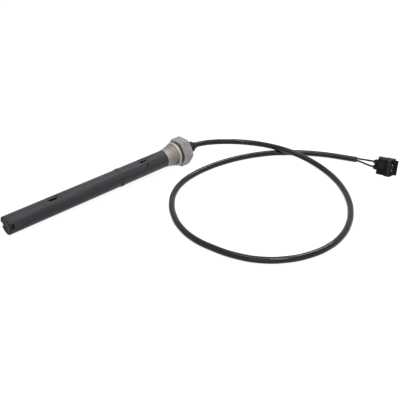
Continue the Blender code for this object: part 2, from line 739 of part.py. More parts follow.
def make_seal_ring(probe):
    middle = (RIM_END + NUT_START) / 2
    centre = SHANK_RADIUS + FIT / 2 + SEAL_SECTION / 2
    outline = arc(middle, centre, SEAL_SECTION / 2, 0, 315, 7)
    turned("seal_ring", outline, black_rubber(), probe)


def make_hex_nut(probe):
    """Hexagon with both ends turned to a cone, on a swivel bore."""
    half = NUT_LENGTH / 2
    corner = ACROSS_FLATS / math.sqrt(3)
    pivot = axis_empty("nut_axis", (NUT_START + half, 0, 0), (0, 0, 0))
    pivot.parent = probe
    outline = arc(0, 0, corner, 30, 330, 5)
    forward = (0, math.radians(90), 0)
    nut = extruded("hex_nut", outline, NUT_LENGTH, cast_metal(), pivot, (-half, 0, 0), forward)
    end_circle = NUT_CHAMFER_SHARE * ACROSS_FLATS / 2
    rise = math.tan(math.radians(NUT_CHAMFER_ANGLE))
    wide = corner * 1.02
    slope = (wide - end_circle) * rise
    beyond = half + 0.001
    narrow = end_circle - 0.001 / rise
    cone = [
        (-beyond, 0),
        (-beyond, narrow),
        (slope - half, wide),
        (half - slope, wide),
        (beyond, narrow),
        (beyond, 0),
    ]
    combine(nut, turned("nut_cone", cone, None, pivot, sides=60), "INTERSECT")
    bore = SHANK_RADIUS + NUT_RUNNING_GAP
    mouth = bore + NUT_MOUTH + 0.001
    hole = [
        (-beyond, 0),
        (-beyond, mouth),
        (NUT_MOUTH - half, bore),
        (half - NUT_MOUTH, bore),
        (beyond, mouth),
        (beyond, 0),
    ]
    combine(nut, turned("nut_bore", hole, None, pivot, sides=ROUND_SIDES))


def make_retaining_ring(probe):
    inner = SHANK_RADIUS - RETAINER_DEPTH
    outer = SHANK_RADIUS + RETAINER_PROUD
    gap = RETAINER_OPENING / 2
    outline = arc(0, 0, outer, gap, 360 - gap, 28) + arc(0, 0, inner, 360 - gap, gap, 28)
    at = (RETAINER_START, 0, 0)
    turn = (0, math.radians(90), 0)
    extruded("retaining_ring", outline, RETAINER_THICKNESS, spring_steel(), probe, at, turn)


def make_ferrule_and_boot(probe):
    inner = CABLE_RADIUS + FIT
    outer = inner + FERRULE_WALL
    end = FERRULE_START + FERRULE_LENGTH
    waist = outer - CRIMP_DEPTH
    ferrule = [
        (FERRULE_START, inner),
        (FERRULE_START, outer),
        (FERRULE_START + FERRULE_LENGTH * 0.3, outer),
        (FERRULE_START + FERRULE_LENGTH * 0.4, waist),
        (FERRULE_START + FERRULE_LENGTH * 0.6, waist),
        (FERRULE_START + FERRULE_LENGTH * 0.7, outer),
        (end, outer),
        (end, inner),
    ]
    turned("crimp_ferrule", ferrule, spring_steel(), probe, sides=SMALL_SIDES)
    flange_start = COLLAR_END + FIT
    plug_radius = COLLAR_THROAT_RADIUS - SLIM_FIT
    boot = [
        (BOOT_START, inner),
        (BOOT_START, plug_radius),
        (flange_start, plug_radius),
        (flange_start, BOOT_FLANGE_RADIUS),
        (flange_start + BOOT_FLANGE_LENGTH, BOOT_FLANGE_RADIUS),
        (flange_start + BOOT_FLANGE_LENGTH * 1.3, BOOT_RADIUS),
        (BOOT_SHOULDER - 0.0003, BOOT_RADIUS),
        (BOOT_SHOULDER, BOOT_RADIUS - 0.0003),
        (BOOT_SHOULDER + BOOT_TAPER, BOOT_END_RADIUS + BOOT_NECK_STEP),
        (BOOT_END, BOOT_END_RADIUS),
        (BOOT_END, inner),
    ]
    turned("boot", boot, black_rubber(), probe, sides=28)


def probe_to_world(x):
    """World place of a point on the probe's axis."""
    return Vector((SHIFT + x * math.cos(LEAN), 0, TIP_HEIGHT + x * math.sin(LEAN)))


def make_cable():
    straight = [probe_to_world(CABLE_START), probe_to_world(BOOT_START), probe_to_world(BOOT_END)]
    start = SHIFT + BOOT_END
    lying = [(start + x, y, height * CABLE_RADIUS) for x, y, height in CABLE_ROUTE]
    route = catmull_rom([*straight, *lying], CABLE_POINTS)
    tube_along("cable", route, CABLE_RADIUS, sleeve_gloss())
    return route[-1], (route[-1] - route[-2]).normalized()


def make_conductors(cable_end, cable_way, plug_matrix):
    """The two conductors from the sleeve's cut end into the seals."""
    entry = -(SEAL_BOSS_LENGTH + WIRE_SEAL_PROUD)
    for name, sign in (("wire_upper", 1), ("wire_lower", -1)):
        start = cable_end + cable_way * FIT + Vector((0, 0, sign * CONDUCTOR_RADIUS * 1.25))
        height = PLUG_HEIGHT / 2 + sign * CONTACT_PITCH / 2
        gate = plug_matrix @ Vector((entry - 0.0005, 0, height))
        before = plug_matrix @ Vector((entry - 0.0020, 0, height))
        inside = plug_matrix @ Vector((SEAL_ROOM_DEPTH - FIT, 0, height))
        lead = start + cable_way * 0.0015
        route = catmull_rom([start, lead, lead.lerp(before, 0.5), before, gate], CONDUCTOR_POINTS)
        tube_along(name, [*route, inside], CONDUCTOR_RADIUS, black_rubber())


def tower_outline(radius):
    """Two round towers a pitch apart, joined by flat sides."""
    half = CONTACT_PITCH / 2
    return arc(half, 0, radius, -90, 90, 8) + arc(-half, 0, radius, 90, 270, 8)


def make_housing(plug):
    """Body with two seal towers, a slant-mouthed skirt round the double tower, and a latch tongue."""
    middle = PLUG_HEIGHT / 2
    forward = (0, math.radians(90), 0)
    rear = (0, 0, middle)
    body = rounded_rectangle(BODY_HEIGHT, BODY_WIDTH, BODY_CORNER)
    housing = extruded("connector_housing", body, BODY_LENGTH, plug_plastic(), plug, rear, forward)
    skirt = rounded_rectangle(PLUG_HEIGHT, PLUG_WIDTH, SKIRT_CORNER, 4)
    length = MOUTH_FAR - SKIRT_START
    at = (SKIRT_START, 0, middle)
    combine(housing, extruded("skirt", skirt, length, None, plug, at, forward), "UNION")
    room_corner = SKIRT_CORNER - SKIRT_WALL
    room = rounded_rectangle(PLUG_HEIGHT - 2 * SKIRT_WALL, PLUG_WIDTH - 2 * SKIRT_WALL, room_corner, 4)
    at = (BODY_LENGTH, 0, middle)
    combine(housing, extruded("skirt_room", room, length, None, plug, at, forward))
    side = PLUG_WIDTH / 2
    slant = [
        (MOUTH_NEAR, -side - 0.001),
        (MOUTH_NEAR, -side + SKIRT_WALL),
        (MOUTH_FAR, side - SKIRT_WALL),
        (MOUTH_FAR + 0.001, side - SKIRT_WALL),
        (MOUTH_FAR + 0.001, -side - 0.001),
    ]
    combine(housing, extruded("mouth_cut", slant, PLUG_HEIGHT + 0.002, None, plug, (0, 0, -0.001)))
    at = (BODY_LENGTH - 0.001, 0, middle)
    tower = tower_outline(TOWER_RADIUS)
    length = TOWER_END - at[0]
    combine(housing, extruded("double_tower", tower, length, None, plug, at, forward), "UNION")
    low = (MOUTH_FAR - 0.003, side - TONGUE_WALL, TONGUE_LOW)
    high = (TONGUE_END, side - 0.00005, TONGUE_HIGH)
    combine(housing, block("tongue", low, high, None, plug), "UNION")
    start = TONGUE_END - LATCH_SETBACK
    face = side - TONGUE_WALL
    buried = face + TONGUE_WALL / 2
    nose = [(start, face - LATCH_PROUD), (start, buried), (start + LATCH_LENGTH, buried)]
    at = (0, 0, middle - LATCH_HEIGHT / 2)
    combine(housing, extruded("latch_nose", nose, LATCH_HEIGHT, None, plug, at), "UNION")
    for name, sign in (("upper", 1), ("lower", -1)):
        place = (0, 0, middle + sign * CONTACT_PITCH / 2)
        boss = rod(-SEAL_BOSS_LENGTH, 0.002, SEAL_BOSS_RADIUS)
        combine(housing, turned(f"boss_{name}", boss, None, plug, place, sides=24), "UNION")
    for name, sign in (("upper", 1), ("lower", -1)):
        place = (0, 0, middle + sign * CONTACT_PITCH / 2)
        seal_room = WIRE_SEAL_RADIUS + SLIM_FIT
        contact_room = CONTACT_BORE + CONTACT_WALL + SLIM_FIT
        way = [
            (-SEAL_BOSS_LENGTH - 0.001, 0),
            (-SEAL_BOSS_LENGTH - 0.001, seal_room),
            (SEAL_ROOM_DEPTH, seal_room),
            (SEAL_ROOM_DEPTH, contact_room),
            (TOWER_END + 0.001, contact_room),
            (TOWER_END + 0.001, 0),
        ]
        combine(housing, turned(f"way_{name}", way, None, plug, place, sides=SMALL_SIDES))
    return housing


def add_housing_details(plug, housing):
    """Ribs and the lock's pocket on the near side."""
    near = -BODY_WIDTH / 2
    for i in range(2):
        height = BODY_TOP_STEP + RIB_FIRST + i * RIB_SPACING
        low = (0.0004, near - RIB_PROUD, height)
        high = (SKIRT_START + 0.0005, near + 0.0005, height + RIB_THICKNESS)
        combine(housing, block(f"side_rib_{i}", low, high, None, plug), "UNION")
    low = (LOCK_START - SLIM_FIT, near - 0.001, LOCK_LOW - SLIM_FIT)
    high = (LOCK_END + SLIM_FIT, near + LOCK_DEPTH, LOCK_HIGH + SLIM_FIT)
    combine(housing, block("lock_pocket", low, high, None, plug))


def make_terminal_lock(plug):
    """Slide-in plate on the near side that holds the contacts, with a thumb step."""
    near = -BODY_WIDTH / 2
    low = (LOCK_START, near - LOCK_PROUD, LOCK_LOW)
    high = (LOCK_END, near + LOCK_DEPTH - SLIM_FIT, LOCK_HIGH)
    lock = block("terminal_lock", low, high, plug_plastic(), plug)
    step_low = (LOCK_END - LOCK_STEP_LENGTH, near - 0.0010, LOCK_LOW + LOCK_STEP_LOW)
    step_high = (LOCK_END + 0.001, near + LOCK_PROUD, LOCK_LOW + LOCK_STEP_LOW + LOCK_STEP_HEIGHT)
    combine(lock, block("thumb_step", step_low, step_high, None, plug))


def make_contacts_and_seals(plug):
    middle = PLUG_HEIGHT / 2
    contact_end = TOWER_END - CONTACT_SETBACK
    outer = CONTACT_BORE + CONTACT_WALL
    for name, sign in (("upper", 1), ("lower", -1)):
        place = (0, 0, middle + sign * CONTACT_PITCH / 2)
        contact = [
            (SEAL_ROOM_DEPTH + FIT, 0),
            (SEAL_ROOM_DEPTH + FIT, outer * 0.6),
            (SEAL_ROOM_DEPTH + FIT + outer, outer),
            (contact_end, outer),
            (contact_end, CONTACT_BORE),
            (BODY_LENGTH, CONTACT_BORE),
            (BODY_LENGTH, 0),
        ]
        turned(f"socket_{name}", contact, tinned_metal(), plug, place, sides=16)
        rear = -SEAL_BOSS_LENGTH - WIRE_SEAL_PROUD
        front = SEAL_ROOM_DEPTH - FIT
        inner = CONDUCTOR_RADIUS + SLIM_FIT
        ridges = 3
        step = (front - rear) / (2 * ridges)
        skin = []
        for i in range(2 * ridges + 1):
            skin.append((rear + step * i, WIRE_SEAL_RADIUS - (SEAL_RIDGE if i % 2 else 0.0)))
        seal = [(rear, inner), *skin, (front, inner)]
        turned(f"wire_seal_{name}", seal, seal_rubber(), plug, place, sides=16)
    forward = (0, math.radians(90), 0)
    outside = tower_outline(TOWER_RADIUS + SLIM_FIT + FRONT_SEAL_WALL)
    at = (BODY_LENGTH + SLIM_FIT, 0, middle)
    ring = extruded("front_seal", outside, FRONT_SEAL_LENGTH, seal_rubber(), plug, at, forward)
    inside = tower_outline(TOWER_RADIUS + SLIM_FIT)
    at = (BODY_LENGTH - 0.001, 0, middle)
    length = FRONT_SEAL_LENGTH + 0.002
    combine(ring, extruded("front_seal_room", inside, length, None, plug, at, forward))


def build():
    clear_scene()
    probe = axis_empty("probe_axis", (SHIFT, 0, TIP_HEIGHT), (0, -LEAN, 0))
    place = (SHIFT + BOOT_END + PLUG_PLACE[0], PLUG_PLACE[1], 0)
    plug = axis_empty("plug_axis", place, (0, 0, math.radians(PLUG_HEADING)))
    bpy.context.view_layer.update()
    make_lower_tube(probe)
    make_upper_tube(probe)
    make_tip_guide(probe)
    make_wire_carrier(probe)
    make_measuring_wire(probe)
    make_tension_spring(probe)
    make_head(probe)
    make_collar(probe)
    make_seal_ring(probe)
    make_hex_nut(probe)
    make_retaining_ring(probe)
    make_ferrule_and_boot(probe)
    cable_end, cable_way = make_cable()
    make_conductors(cable_end, cable_way, plug.matrix_world)
    housing = make_housing(plug)
    add_housing_details(plug, housing)
    make_terminal_lock(plug)
    make_contacts_and_seals(plug)


build()
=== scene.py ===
"""Oil level probe with a swivel hexagon, a fly lead and a two-way plug, dressed for a studio picture."""

import math

import bmesh
import bpy
from mathutils import Matrix, Vector


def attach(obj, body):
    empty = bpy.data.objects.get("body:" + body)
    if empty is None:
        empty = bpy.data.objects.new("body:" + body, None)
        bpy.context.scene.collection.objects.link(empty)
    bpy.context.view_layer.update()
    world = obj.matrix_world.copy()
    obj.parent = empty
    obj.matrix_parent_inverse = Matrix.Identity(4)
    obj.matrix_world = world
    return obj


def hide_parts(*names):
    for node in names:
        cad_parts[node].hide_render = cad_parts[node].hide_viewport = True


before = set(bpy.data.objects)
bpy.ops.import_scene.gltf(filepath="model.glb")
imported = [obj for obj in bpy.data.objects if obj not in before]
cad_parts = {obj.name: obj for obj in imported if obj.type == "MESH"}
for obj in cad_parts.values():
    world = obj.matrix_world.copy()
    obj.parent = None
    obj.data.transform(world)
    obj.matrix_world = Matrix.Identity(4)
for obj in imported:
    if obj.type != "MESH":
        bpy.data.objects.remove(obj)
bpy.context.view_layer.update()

# Sizes are in metres. On the bench the probe lies along X from the middle of its tip's end face, and the
# plug stands on the floor and points along X from the back of its housing.
ALONG_X = (0, math.radians(90), 0)
LEAN = math.radians(1.345957)
PROBE = Matrix.Translation((-0.09917446, 0, 0.00788842)) @ Matrix.Rotation(-LEAN, 4, "Y")
PLUG = Matrix.Translation((0.20122554, -0.1381, 0)) @ Matrix.Rotation(math.radians(-71), 4, "Z")
PLUG_MIDDLE = 0.0087
PITCH = 0.0052
CONTACT_HEIGHTS = {"upper": PLUG_MIDDLE + PITCH / 2, "lower": PLUG_MIDDLE - PITCH / 2}
CABLE_DIAMETER = 0.0053
WIRE_DIAMETER = 0.0017

BORE = 0.0060
LOWER_TUBE = 0.0079
UPPER_TUBE = 0.0080
TUBE_JOINT = 0.1060
SLOT_ANGLE = 97
SLOT_DRAFT = 0.55
LOWER_SLOT = 0.0380
UPPER_SLOT = 0.1300
SNAP_ANGLE = 166
NIB_ANGLES = (30, 210)
VENT = 0.1365
VENT_ANGLE = 144.5
COLLAR_START = 0.1590
RIM_END = 0.1731
HEXAGON_START = 0.1749
HEXAGON_END = 0.1852
HEXAGON_FLATS = 0.0240
TARNISH_SPOT = (0.0696, -0.0095, 0.0082)

CABLE_ROUTE = (
    (0.0860, 0.0000, 0.0122),
    (0.0993, 0.0000, 0.0126),
    (0.1113, -0.0011, 0.0114),
    (0.1211, -0.0023, 0.0096),
    (0.1331, -0.0055, 0.0074),
    (0.1442, -0.0109, 0.0056),
    (0.1532, -0.0188, 0.0046),
    (0.1584, -0.0297, 0.0052),
    (0.1600, -0.0428, 0.0071),
    (0.1611, -0.0551, 0.0084),
    (0.1640, -0.0665, 0.0078),
    (0.1668, -0.0791, 0.0062),
    (0.1676, -0.0924, 0.0044),
    (0.1654, -0.1068, 0.0031),
    (0.1601, -0.1210, 0.0027),
    (0.1506, -0.1372, 0.0027),
    (0.1383, -0.1521, 0.0027),
    (0.1239, -0.1646, 0.0027),
    (0.1078, -0.1743, 0.0027),
    (0.0901, -0.1807, 0.0027),
    (0.0713, -0.1828, 0.0027),
    (0.0526, -0.1798, 0.0027),
    (0.0353, -0.1720, 0.0027),
    (0.0209, -0.1597, 0.0027),
    (0.0110, -0.1436, 0.0027),
    (0.0053, -0.1255, 0.0027),
    (0.0028, -0.1067, 0.0027),
    (0.0055, -0.0880, 0.0027),
    (0.0129, -0.0705, 0.0027),
    (0.0238, -0.0550, 0.0027),
    (0.0378, -0.0422, 0.0027),
    (0.0546, -0.0335, 0.0027),
    (0.0731, -0.0293, 0.0027),
    (0.0921, -0.0287, 0.0027),
    (0.1110, -0.0308, 0.0027),
    (0.1293, -0.0355, 0.0027),
    (0.1468, -0.0429, 0.0027),
    (0.1629, -0.0531, 0.0027),
    (0.1887, -0.0807, 0.0027),
    (0.2062, -0.1125, 0.0027),
)
SLEEVE_END = Vector((0.20624, -0.11252, 0.0027))
SLEEVE_WAY = Vector((0.4267, -0.9044, 0))


# The bench: each piece is modelled lying along X about the origin, and then seated.


def clear_hands():
    if bpy.context.object and bpy.context.object.mode != "OBJECT":
        bpy.ops.object.mode_set(mode="OBJECT")
    bpy.ops.object.select_all(action="DESELECT")


def take(piece):
    clear_hands()
    piece.select_set(True)
    bpy.context.view_layer.objects.active = piece


def shape_edges():
    bpy.ops.object.mode_set(mode="EDIT")
    bpy.ops.mesh.select_mode(type="EDGE")


def pick_edges(piece, wanted):
    """Selects the edges whose two ends pass the test."""
    cage = bmesh.from_edit_mesh(piece.data)
    for face in cage.faces:
        face.select_set(False)
    for edge in cage.edges:
        edge.select_set(wanted(edge.verts[0].co, edge.verts[1].co))
    bmesh.update_edit_mesh(piece.data)


def pick_vertices(piece, wanted):
    """Selects the vertices whose place passes the test."""
    bpy.ops.mesh.select_mode(type="VERT")
    cage = bmesh.from_edit_mesh(piece.data)
    for vertex in cage.verts:
        vertex.select_set(wanted(vertex.co))
    cage.select_flush_mode()
    bmesh.update_edit_mesh(piece.data)


def put_down(piece, name):
    """Ends the work in edit mode, with the faces outwards and the place in the mesh."""
    bpy.ops.mesh.select_all(action="SELECT")
    bpy.ops.mesh.normals_make_consistent(inside=False)
    bpy.ops.object.mode_set(mode="OBJECT")
    bpy.ops.object.transform_apply(location=True, rotation=True, scale=True)
    piece.name = name
    return piece


def turn_on_lathe(name, stations, sides=96, centre=(0, 0), solid=False):
    """A ring drawn along X from one (x, radius) to the next: a wall closed on itself, or a solid."""
    clear_hands()
    y, z = centre
    x, radius = stations[0]
    bpy.ops.mesh.primitive_circle_add(
        vertices=sides,
        radius=radius,
        fill_type="NGON" if solid else "NOTHING",
        location=(x, y, z),
        rotation=ALONG_X,
    )
    piece = bpy.context.object
    shape_edges()
    if solid:
        bpy.ops.mesh.select_mode(type="FACE")
    for next_x, next_radius in stations[1:]:
        bpy.ops.mesh.extrude_region_move(TRANSFORM_OT_translate={"value": (next_x - x, 0, 0)})
        if next_radius != radius:
            grow = next_radius / radius
            bpy.ops.transform.resize(value=(1, grow, grow), center_override=(next_x, y, z))
        x, radius = next_x, next_radius
    if not solid:
        bpy.ops.mesh.select_all(action="DESELECT")
        bpy.ops.mesh.select_non_manifold(extend=False, use_wire=False, use_multi_face=False)
        bpy.ops.mesh.bridge_edge_loops()
    return put_down(piece, name)


def turn_solid(name, stations, sides=96, centre=(0, 0)):
    """The same drawing with a flat face on each end."""
    return turn_on_lathe(name, stations, sides, centre, solid=True)


def cut_block(name, low, high, corner=0.0, along="X", steps=4):
    """A block between two corners, with the four edges along one axis rounded."""
    clear_hands()
    size = [b - a for a, b in zip(low, high)]
    middle = [(a + b) / 2 for a, b in zip(low, high)]
    bpy.ops.mesh.primitive_cube_add(size=1, location=middle)
    piece = bpy.context.object
    piece.scale = size
    bpy.ops.object.transform_apply(location=True, rotation=True, scale=True)
    shape_edges()
    if corner:
        axis = "XYZ".index(along)
        pick_edges(piece, lambda a, b: abs(abs(a[axis] - b[axis]) - size[axis]) < 1e-7)
        bpy.ops.mesh.bevel(offset=corner, segments=steps, affect="EDGES")
    return put_down(piece, name)


def use_modifier(piece, kind, **settings):
    take(piece)
    step = piece.modifiers.new(kind.lower(), kind)
    for key, value in settings.items():
        setattr(step, key, value)
    bpy.ops.object.modifier_apply(modifier=step.name)


def scrap(piece):
    clear_hands()
    bpy.data.objects.remove(piece, do_unlink=True)


def join_on(piece, other):
    use_modifier(piece, "BOOLEAN", operation="UNION", object=other, solver="EXACT")
    scrap(other)


def cut_out(piece, other):
    use_modifier(piece, "BOOLEAN", operation="DIFFERENCE", object=other, solver="EXACT")
    scrap(other)


def keep_within(piece, other):
    use_modifier(piece, "BOOLEAN", operation="INTERSECT", object=other, solver="EXACT")
    scrap(other)


def break_edges(piece, width, steps=2, angle=38):
    use_modifier(
        piece, "BEVEL", width=width, segments=steps, limit_method="ANGLE", angle_limit=math.radians(angle)
    )


def seat(piece, place, body, slot, surface, *nodes, smooth=42):
    """Moves a finished piece from the bench to its place, on its body."""
    take(piece)
    bpy.ops.object.shade_smooth_by_angle(angle=math.radians(smooth))
    piece.matrix_world = place @ piece.matrix_world
    bpy.ops.object.transform_apply(location=True, rotation=True, scale=True)
    piece.data.materials.clear()
    piece.data.materials.append(surface)
    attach(piece, body)
    if nodes:
        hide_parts(*nodes)
    return piece


def swing(piece, angle):
    """Turns a piece about the bench's axis, in degrees."""
    take(piece)
    piece.matrix_world = Matrix.Rotation(math.radians(angle), 4, "X") @ piece.matrix_world
    bpy.ops.object.transform_apply(location=True, rotation=True, scale=True)
    return piece


# Finishes


def node(tree, kind, inputs=None, **settings):
    """A shader node with its settings; an input is a value, or a socket that feeds it."""
    made = tree.nodes.new("ShaderNode" + kind)
    for key, value in settings.items():
        setattr(made, key, value)
    for key, value in (inputs or {}).items():
        if isinstance(value, bpy.types.NodeSocket):
            tree.links.new(value, made.inputs[key])
        else:
            made.inputs[key].default_value = value
    return made


def finish(name, **values):
    """A Principled surface with its plain values set, and its tree and coordinates to work with."""
    made = bpy.data.materials.new(name)
    made.use_nodes = True
    tree = made.node_tree
    shader = tree.nodes["Principled BSDF"]
    for key, value in values.items():
        shader.inputs[key.replace("_", " ").title().replace("Ior", "IOR")].default_value = value
    place = node(tree, "TexCoord").outputs["Object"]
    return made, tree, shader, place


def probe_coordinates(tree, place, stretch=(1, 1, 1)):
    """Coordinates along the probe's own axis, stretched."""
    seated = node(
        tree,
        "Mapping",
        {"Vector": place, "Location": PROBE.translation, "Rotation": (0, -LEAN, 0)},
        vector_type="TEXTURE",
    ).outputs["Vector"]
    return node(tree, "Mapping", {"Vector": seated, "Scale": stretch}).outputs["Vector"]


def along_axis(tree, seated):
    """How far a point lies along X, from coordinates on a piece's own axis."""
    return node(tree, "SeparateXYZ", {"Vector": seated}).outputs["X"]


def distance_to(tree, place, spot):
    return node(tree, "VectorMath", {0: place, 1: spot}, operation="DISTANCE").outputs["Value"]


def noise(tree, place, scale, detail=3.0, roughness=0.5):
    inputs = {"Vector": place, "Scale": scale, "Detail": detail, "Roughness": roughness}
    return node(tree, "TexNoise", inputs).outputs["Fac"]


def ramp(tree, factor, stops):
    """A colour for the factor, between (position, colour) stops."""
    made = node(tree, "ValToRGB", {"Fac": factor})
    band = made.color_ramp
    while len(band.elements) < len(stops):
        band.elements.new(0.5)
    for element, (where, colour) in zip(band.elements, stops):
        element.position = where
        element.color = (*colour, 1)
    return made.outputs["Color"]


def grey(value):
    return (value, value, value)


def mix(tree, factor, first, second, blend="MIX"):
    made = node(tree, "Mix", data_type="RGBA", blend_type=blend)
    for socket, value in ((made.inputs[0], factor), (made.inputs[6], first), (made.inputs[7], second)):
        if isinstance(value, bpy.types.NodeSocket):
            tree.links.new(value, socket)
        else:
            socket.default_value = value if isinstance(value, float) else (*value, 1)
    return made.outputs[2]


def fade(tree, value, start, end, low=0, high=1):
    """A factor that goes from low to high while the value goes from start to end."""
    inputs = {"Value": value, "From Min": start, "From Max": end, "To Min": low, "To Max": high}
    return node(tree, "MapRange", inputs).outputs["Result"]


def between(tree, value, low, high):
    """A factor from low to high for a value from nought to one."""
    return fade(tree, value, 0, 1, low, high)


def relief(tree, shader, height, depth, strength):
    made = node(tree, "Bump", {"Height": height, "Distance": depth, "Strength": strength})
    tree.links.new(made.outputs["Normal"], shader.inputs["Normal"])


def feed(tree, value, shader, socket):
    tree.links.new(value, shader.inputs[socket])


def moulded_tube_finish():
    """The tube's moulding, paler in the bore and on the walls of its oil slots, where the paler grey is
    painted light, and dull on its end face.
    """
    made, tree, shader, place = finish("moulded_tube_grey")
    flow = noise(tree, probe_coordinates(tree, place, (0.12, 1, 1)), scale=420, detail=4)
    grain = noise(tree, place, scale=2600, detail=3, roughness=0.7)
    tone = ramp(tree, flow, [(0.32, (0.0325, 0.031, 0.0365)), (0.68, (0.046, 0.044, 0.0512))])
    speck = ramp(tree, grain, [(0.66, grey(0.0)), (0.78, grey(1.0))])
    outside = mix(tree, speck, tone, (0.064, 0.062, 0.069))
    across = probe_coordinates(tree, place, (0, 1, 1))
    radius = node(tree, "VectorMath", {0: across}, operation="LENGTH").outputs["Value"]
    inside = fade(tree, radius, BORE + 0.0006, BORE + 0.0016, 1, 0)
    reach = along_axis(tree, probe_coordinates(tree, place))
    past_tip = fade(tree, reach, 0.009, 0.012)
    painted_bore_light = node(tree, "Math", {0: inside, 1: past_tip}, operation="MULTIPLY").outputs[0]
    # Painted light: a paler grey in the bore and on the slot walls stands in for light reaching them.
    feed(tree, mix(tree, painted_bore_light, outside, (0.160, 0.156, 0.161)), shader, "Base Color")
    feed(tree, fade(tree, reach, 0.0003, 0.0012, 0.03, 0.2), shader, "Specular IOR Level")
    feed(tree, between(tree, flow, 0.40, 0.50), shader, "Roughness")
    relief(tree, shader, grain, depth=0.00006, strength=0.5)
    return made


def inner_plastic_finish():
    made, tree, shader, place = finish("inner_plastic_grey", roughness=0.55)
    cloud = noise(tree, place, scale=700, detail=3)
    tone = ramp(tree, cloud, [(0.3, (0.19, 0.185, 0.175)), (0.7, (0.25, 0.245, 0.235))])
    feed(tree, tone, shader, "Base Color")
    relief(tree, shader, noise(tree, place, scale=3000, detail=2), depth=0.00004, strength=0.4)
    return made


def turned_collar_finish():
    """Nickel that browns from the tube's end to a bright rim, with one brown spot of tarnish."""
    made, tree, shader, place = finish("turned_collar_nickel", metallic=1.0)
    reach = along_axis(tree, probe_coordinates(tree, place))
    zones = ramp(
        tree,
        fade(tree, reach, COLLAR_START, RIM_END),
        [
            (0.00, (0.22, 0.21, 0.20)),
            (0.05, (0.33, 0.32, 0.305)),
            (0.22, (0.27, 0.26, 0.235)),
            (0.42, (0.24, 0.225, 0.20)),
            (0.68, (0.24, 0.22, 0.19)),
            (0.80, (0.19, 0.155, 0.12)),
            (0.87, (0.42, 0.40, 0.36)),
            (0.99, (0.42, 0.395, 0.355)),
        ],
    )
    cloud = noise(tree, place, scale=330, detail=4, roughness=0.6)
    stain = ramp(tree, cloud, [(0.56, grey(0.0)), (0.78, grey(0.7))])
    stained = mix(tree, stain, zones, (0.15, 0.12, 0.09))
    near = fade(tree, distance_to(tree, place, TARNISH_SPOT), 0.0009, 0.0030, 0.75, 0)
    feed(tree, mix(tree, near, stained, (0.10, 0.066, 0.045)), shader, "Base Color")
    rings = noise(tree, probe_coordinates(tree, place, (1, 0.02, 0.02)), scale=5200, detail=2)
    feed(tree, between(tree, rings, 0.60, 0.76), shader, "Roughness")
    relief(tree, shader, rings, depth=0.00005, strength=0.5)
    return made


def cast_hexagon_finish():
    made, tree, shader, place = finish("cast_hexagon_zinc", metallic=0.9)
    cloud = noise(tree, place, scale=420, detail=5, roughness=0.65)
    tones = [(0.30, (0.22, 0.215, 0.21)), (0.50, (0.28, 0.27, 0.262)), (0.70, (0.35, 0.34, 0.33))]
    feed(tree, ramp(tree, cloud, tones), shader, "Base Color")
    feed(tree, between(tree, cloud, 0.62, 0.44), shader, "Roughness")
    grain = noise(tree, place, scale=1500, detail=4, roughness=0.6)
    relief(tree, shader, grain, depth=0.00012, strength=0.6)
    return made


def boot_rubber_finish():
    made, tree, shader, place = finish("boot_rubber", roughness=0.6, specular_ior_level=0.15)
    bloom = noise(tree, place, scale=900, detail=4)
    feed(tree, ramp(tree, bloom, [(0.35, grey(0.016)), (0.7, grey(0.028))]), shader, "Base Color")
    relief(tree, shader, noise(tree, place, scale=3500, detail=2), depth=0.00004, strength=0.5)
    return made


def seal_ring_finish():
    made, tree, shader, place = finish("seal_ring_rubber", roughness=0.6, specular_ior_level=0.2)
    dust = noise(tree, place, scale=900, detail=4)
    tone = ramp(tree, dust, [(0.35, (0.085, 0.070, 0.058)), (0.7, (0.130, 0.110, 0.092))])
    feed(tree, tone, shader, "Base Color")
    relief(tree, shader, noise(tree, place, scale=3500, detail=2), depth=0.00004, strength=0.5)
    return made


def glossy_sleeve_finish():
    """Shiny black tubing, dull only on the flat of its cut end."""
    made, tree, shader, place = finish("glossy_sleeve_black")
    swirl = noise(tree, place, scale=260, detail=3)
    feed(tree, ramp(tree, swirl, [(0.3, grey(0.003)), (0.7, grey(0.006))]), shader, "Base Color")
    feed(tree, between(tree, swirl, 0.12, 0.18), shader, "Roughness")
    away = distance_to(tree, place, SLEEVE_END + SLEEVE_WAY * 0.003)
    feed(tree, fade(tree, away, 0.00405, 0.00425, 0, 0.3), shader, "Specular IOR Level")
    relief(tree, shader, noise(tree, place, scale=55, detail=3), depth=0.0010, strength=0.35)
    return made


def wire_skin_finish():
    made, tree, shader, place = finish("wire_skin_black", roughness=0.4, specular_ior_level=0.05)
    tint = noise(tree, place, scale=800, detail=3)
    tone = ramp(tree, tint, [(0.3, (0.005, 0.003, 0.003)), (0.7, (0.010, 0.007, 0.006))])
    feed(tree, tone, shader, "Base Color")
    return made


def painted_crevice_shade(tree, tone, reach):
    """The same tone with painted shade: darker where the moulding's corners and gaps close in."""
    # Painted shade: ambient occlusion darkens the colour in corners and gaps.
    open_share = node(tree, "AmbientOcclusion", {"Distance": reach}, samples=8).outputs["AO"]
    shade = ramp(tree, open_share, [(0.45, grey(0.15)), (0.9, grey(1.0))])
    return mix(tree, 1.0, tone, shade, "MULTIPLY")


